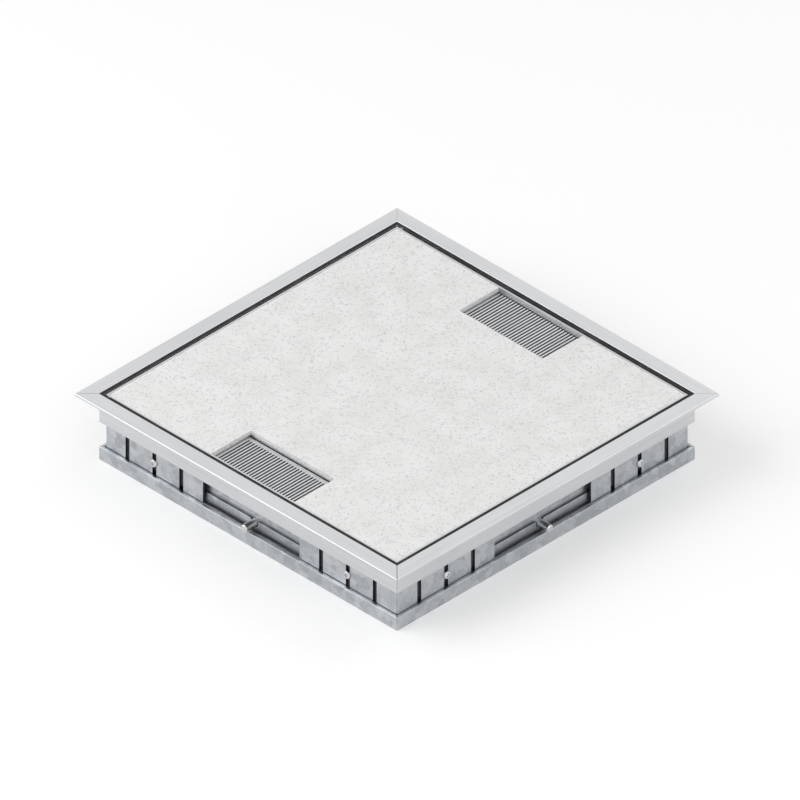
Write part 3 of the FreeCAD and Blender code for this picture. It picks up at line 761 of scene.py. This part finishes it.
# Serrated washer, its rim moving in and out with a square-ish wave of the angle, and a cross-head screw
def earthTerminal():
    shape = earthShape
    wave = np.tanh(shape["toothEdge"] * np.sin(shape["teeth"] * roundAngles(shape["around"])))
    rim = shape["washer"] - shape["toothDepth"] * (1 - wave)
    hole, thick, ease = shape["hole"], shape["thick"], shape["ease"]
    rows = [(hole, 0), (hole, thick), (rim - ease, thick), (rim, thick - ease), (rim, 0)]
    base = np.array([shape["x"], shape["y"], shape["floor"]])
    top = base + np.array([0, 0, thick])
    patches = [patch(lathe(rows, shape["around"]) + base, loopRows=True),
               patch(screw(shape["length"], "cross") + top)]
    addPiece("earth_terminal", patches, plainBrass, sharp=screwShape["sharp"])


insertShape = {"half": 24 * mm, "cover": 1.6 * mm, "skirt": 1.6 * mm, "wall": 1.5 * mm, "round": 0.6 * mm,
               "leastRound": 0.2 * mm, "arcSteps": 5, "border": 2.6 * mm, "field": 0.4 * mm,
               "notch": 5.0 * mm, "notchFlat": 0.9, "notchRise": 0.8 * mm, "ease": 0.15 * mm,
               "shoulder": 0.5 * mm, "shoulderDrop": 0.2 * mm, "count": 3}


# Rounded square with extra points beside the thumb notch, one side turned round by quarters
def squareRow(inset):
    shape = insertShape
    half, notch = shape["half"] - inset, shape["notch"]
    radius = max(shape["round"] - inset, shape["leastRound"])
    swing = np.linspace(math.pi, 1.5 * math.pi, shape["arcSteps"])
    along = np.array([-notch, -shape["notchFlat"] * notch, shape["notchFlat"] * notch, notch])
    x = np.concatenate([radius - half + radius * np.cos(swing), along])
    y = np.concatenate([radius - half + radius * np.sin(swing), np.full_like(along, -half)])
    return np.concatenate([np.stack(quarter, -1) for quarter in ((x, y), (-y, x), (-x, -y), (y, -x))])


# Blanking insert: a skirt, a cover with a raised border round a sunk field, and a thumb notch under its front
# edge. Each row is a square drawn in by that much at that height, and how far the notch lifts it
def blankInserts(hand):
    shape = insertShape
    low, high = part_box("blank_inserts_" + hand)
    top, under, rise = high.z, high.z - shape["cover"], shape["notchRise"]
    skirt, wall = shape["skirt"], shape["skirt"] + shape["wall"]
    border, field = shape["border"], shape["field"]
    ease, shoulder, drop = shape["ease"], shape["shoulder"], shape["shoulderDrop"]
    rows = [(wall, under, 0), (wall, low.z, 0), (skirt, low.z, 0), (skirt, under, 0), (skirt, under, rise),
            (ease, under, rise), (0, under + ease, rise), (0, top - shoulder, 0), (ease, top - drop, 0),
            (shoulder, top, 0), (border, top, 0), (border + field, top - field, 0)]
    points = []
    for inset, height, lift in rows:
        row = squareRow(inset)
        inNotch = (np.abs(row[:, 0]) < shape["notch"]) & (row[:, 1] < 0)
        points.append(np.column_stack([row, height + lift * inNotch]))
    first, last = low.y + shape["half"], high.y - shape["half"]
    middles = [np.array([(low.x + high.x) / 2, y, 0]) for y in np.linspace(first, last, shape["count"])]
    patches = [patch(np.stack(points) + middle, capped=True) for middle in middles]
    flatShading(addPiece("blank_inserts_" + hand, patches, palePlastic))


flapShape = {"pitch": 2.27 * mm, "count": 29, "groove": 1.1 * mm, "depth": 0.8 * mm, "shoulder": 0.22 * mm,
             "shoulderShares": (1, 0.6, 0.25, 0), "groovesFrom": 89.2 * mm, "grooveEnd": 0.12 * mm,
             "knuckle": 1.5 * mm, "knuckleSteps": 22, "thick": 2.17 * mm, "edge": 0.25 * mm, "edgeSteps": 9,
             "topFrom": 0.6 * mm, "topSteps": 6, "nearly": 1e-6 * mm}


# Grooves at even steps about the flap's middle
def grooveMiddles():
    shape = flapShape
    return (np.arange(shape["count"]) - (shape["count"] - 1) / 2) * shape["pitch"]


# Closed outline in (n, z): round at the knuckle, rounded at the free edge, level on top
def flapOutline(inner, outer, top):
    shape = flapShape
    knuckle, bottom, edge, step = shape["knuckle"], top - shape["thick"], shape["edge"], shape["grooveEnd"]
    axisN, axisZ = inner + knuckle, top - knuckle
    under = math.asin((axisZ - bottom) / knuckle)
    swing = np.linspace(math.pi / 2, 2 * math.pi - under, shape["knuckleSteps"])
    nose = np.stack([axisN + knuckle * np.cos(swing), axisZ + knuckle * np.sin(swing)], -1)
    bend = np.linspace(-math.pi / 2, math.pi / 2, shape["edgeSteps"])
    lift = np.where(bend < 0, bottom + edge, top - edge)
    free = np.stack([outer - edge + edge * np.cos(bend), lift + edge * np.sin(bend)], -1)
    start = shape["groovesFrom"]
    upperN = np.concatenate([np.linspace(outer - shape["topFrom"], start + step, shape["topSteps"]),
                             [start + step / 2, start, axisN + step]])
    upper = np.stack([upperN, np.full_like(upperN, top)], -1)
    return np.concatenate([nose, free, upper])


# The outline carried across the flap; its upper run sinks by the groove depth where |t - middle| is under
# half a groove, and by a quarter round at the groove's shoulders
def outletFlap(side):
    shape = flapShape
    low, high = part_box("outlet_flap_front")
    half, top = high.x, high.z
    outline = flapOutline(-high.y, -low.y, top)
    halfGroove, shoulder, edge = shape["groove"] / 2, shape["shoulder"], shape["edge"]
    reach = halfGroove + shoulder * np.array(shape["shoulderShares"])
    offsets = np.concatenate([-reach, reach[::-1]])
    grooves = (grooveMiddles()[:, None] + offsets).ravel()
    t = np.concatenate([[-half, -half + edge], grooves, [half - edge, half]])[:, None]
    nearest = np.abs(t - grooveMiddles()).min(1, keepdims=True)
    past = np.clip((nearest - halfGroove) / shoulder, 0, 1)
    rounding = shoulder * (1 - np.sqrt(np.clip(1 - (1 - past) ** 2, 0, 1)))
    sink = np.where(nearest <= halfGroove + shape["nearly"], shape["depth"], rounding)
    n, z = outline.T
    grooved = (n > shape["groovesFrom"]) & (z > top - shape["thick"] / 2)
    points = onSide(t, n, z - sink * grooved, side)
    addPiece("outlet_flap_" + side, [patch(points, capped=True)], flapFinish)


gripShape = {"play": 0.02 * mm, "foot": 0.05 * mm, "crown": 0.3 * mm, "roundSteps": 5,
             "endSteps": (0.5 * mm, 0.2 * mm, 0), "shrink": (1, 1, 0.96, 0.75)}


# Rubber strip: a crowned section, carried along its groove and drawn in at the outer end
def gripStrips(side):
    shape = gripShape
    low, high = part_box("grip_strips_front")
    half = flapShape["groove"] / 2 - shape["play"]
    foot, crown, floor = shape["foot"], shape["crown"], low.z
    corners = [(-half, floor), (half, floor), (half, high.z), (-half, high.z)]
    across, up = roundCorners(corners, [foot, foot, crown, crown], shape["roundSteps"]).T
    n = np.array([-high.y, *(-low.y - step for step in shape["endSteps"])])[:, None]
    shrink = np.array(shape["shrink"])[:, None]
    z = floor + (up - floor) * shrink
    strips = [onSide(middle + across * shrink, n, z, side) for middle in grooveMiddles()]
    addPiece("grip_strips_" + side, [patch(points, capped=True) for points in strips], blackRubber)


for side in sideTurns:
    latchStud(side)
    latchSpring(side)
for hand in ("left", "right"):
    blankInserts(hand)
for side in ("front", "back"):
    outletFlap(side)
    gripStrips(side)
clampScrews()
gussetScrews()
carrierScrews()
clampNuts()
latchCaps()
earthTerminal()
print("turned, wound and ribbed pieces made")

stageLook = {"floorSize": 6.0, "floorTone": tone(0.86, 0.86, 0.86), "speckTone": tone(0.88, 0.88, 0.88),
             "speck": (300.0, 3.0), "roughness": 0.9, "shine": 0.1, "white": tone(1, 1, 1), "glow": 0.20,
             "skyLight": 0.5}


# 1 for what the eye sees, straight or in a mirror or glass
def seenByEye(tree):
    path = tree.nodes.new("ShaderNodeLightPath")
    camera, glossy, through = [Wire(path.outputs[name]) for name in
                               ("Is Camera Ray", "Is Glossy Ray", "Is Transmission Ray")]
    rays = camera + glossy + through
    return rays.math("MINIMUM", rays, 1.0)


# The floor reads as the white page to the eye, and still takes the shadow
def addFloor():
    look = stageLook
    half = look["floorSize"] / 2
    mesh = bpy.data.meshes.new("floor")
    corners = [(-half, -half, 0), (half, -half, 0), (half, half, 0), (-half, half, 0)]
    mesh.from_pydata(corners, [], [(0, 1, 2, 3)])
    floor = bpy.data.objects.new("floor", mesh)
    bpy.context.scene.collection.objects.link(floor)
    finish = Finish("paleFloor", {"Roughness": look["roughness"], "Specular IOR Level": look["shine"]})
    speck = finish.noise(*look["speck"])
    finish.feed({"Base Color": finish.mix(speck, look["floorTone"], look["speckTone"])})
    plain = Wire(finish.shader.outputs[0])
    glow = finish.node("ShaderNodeEmission", sockets={"Color": look["white"], "Strength": look["glow"]})
    lifted = finish.node("ShaderNodeAddShader", sockets={0: plain, 1: glow})
    shown = finish.node("ShaderNodeMixShader", sockets={0: seenByEye(finish.tree), 1: plain, 2: lifted})
    plug(finish.tree.nodes["Material Output"].inputs["Surface"], shown)
    mesh.materials.append(finish.material)


# An even sky: soft light on the object, plain white behind it
def addSky():
    look = stageLook
    world = bpy.data.worlds.new("sky")
    world.use_nodes = True
    bpy.context.scene.world = world
    tree = world.node_tree
    background = tree.nodes["Background"]
    plug(background.inputs["Color"], look["white"])
    plug(background.inputs["Strength"], look["skyLight"] + seenByEye(tree) * (1.0 - look["skyLight"]))


lampPlaces = {"key": {"at": (-0.75, -0.85, 1.05), "size": 1.4, "power": 12.0},
              "side": {"at": (1.1, -0.25, 0.7), "size": 1.0, "power": 3.4},
              "back": {"at": (0.2, 1.1, 0.9), "size": 1.0, "power": 3.0}}


# Square lamps that face the origin
def addLamps():
    for name, lamp in lampPlaces.items():
        light = bpy.data.lights.new(name, "AREA")
        light.size = lamp["size"]
        light.energy = lamp["power"]
        holder = bpy.data.objects.new(name, light)
        holder.location = lamp["at"]
        holder.rotation_euler = (-Vector(lamp["at"])).to_track_quat("-Z", "Y").to_euler()
        bpy.context.scene.collection.objects.link(holder)


viewShape = {"azimuth": 45.0, "elevation": 35.2644, "pixelsPerMetre": 1727.6, "picture": 800,
             "aimedAt": (0.0, 0.0, 46.4 * mm), "aimPixel": (397.0, 393.65), "distance": 2.0}


# Isometric view: the point aimed at, in the middle of the top, falls on the aim pixel, a little left of and
# above the picture's middle
def addCamera():
    shape = viewShape
    a, e = math.radians(shape["azimuth"]), math.radians(shape["elevation"])
    back = Vector((math.sin(a) * math.cos(e), -math.cos(a) * math.cos(e), math.sin(e)))
    right = Vector((math.cos(a), math.sin(a), 0))
    up = back.cross(right)
    across = (shape["aimPixel"][0] - shape["picture"] / 2) / shape["pixelsPerMetre"]
    above = (shape["picture"] / 2 - shape["aimPixel"][1]) / shape["pixelsPerMetre"]
    lens = bpy.data.cameras.new("isometric")
    lens.type = "ORTHO"
    lens.ortho_scale = shape["picture"] / shape["pixelsPerMetre"]
    camera = bpy.data.objects.new("isometric", lens)
    camera.location = Vector(shape["aimedAt"]) - right * across - up * above + back * shape["distance"]
    camera.rotation_euler = (-back).to_track_quat("-Z", "Y").to_euler()
    bpy.context.scene.collection.objects.link(camera)
    bpy.context.scene.camera = camera


addFloor()
addSky()
addLamps()
addCamera()
bpy.context.scene.view_settings.view_transform = "Standard"
print("stage, lamps and camera set")
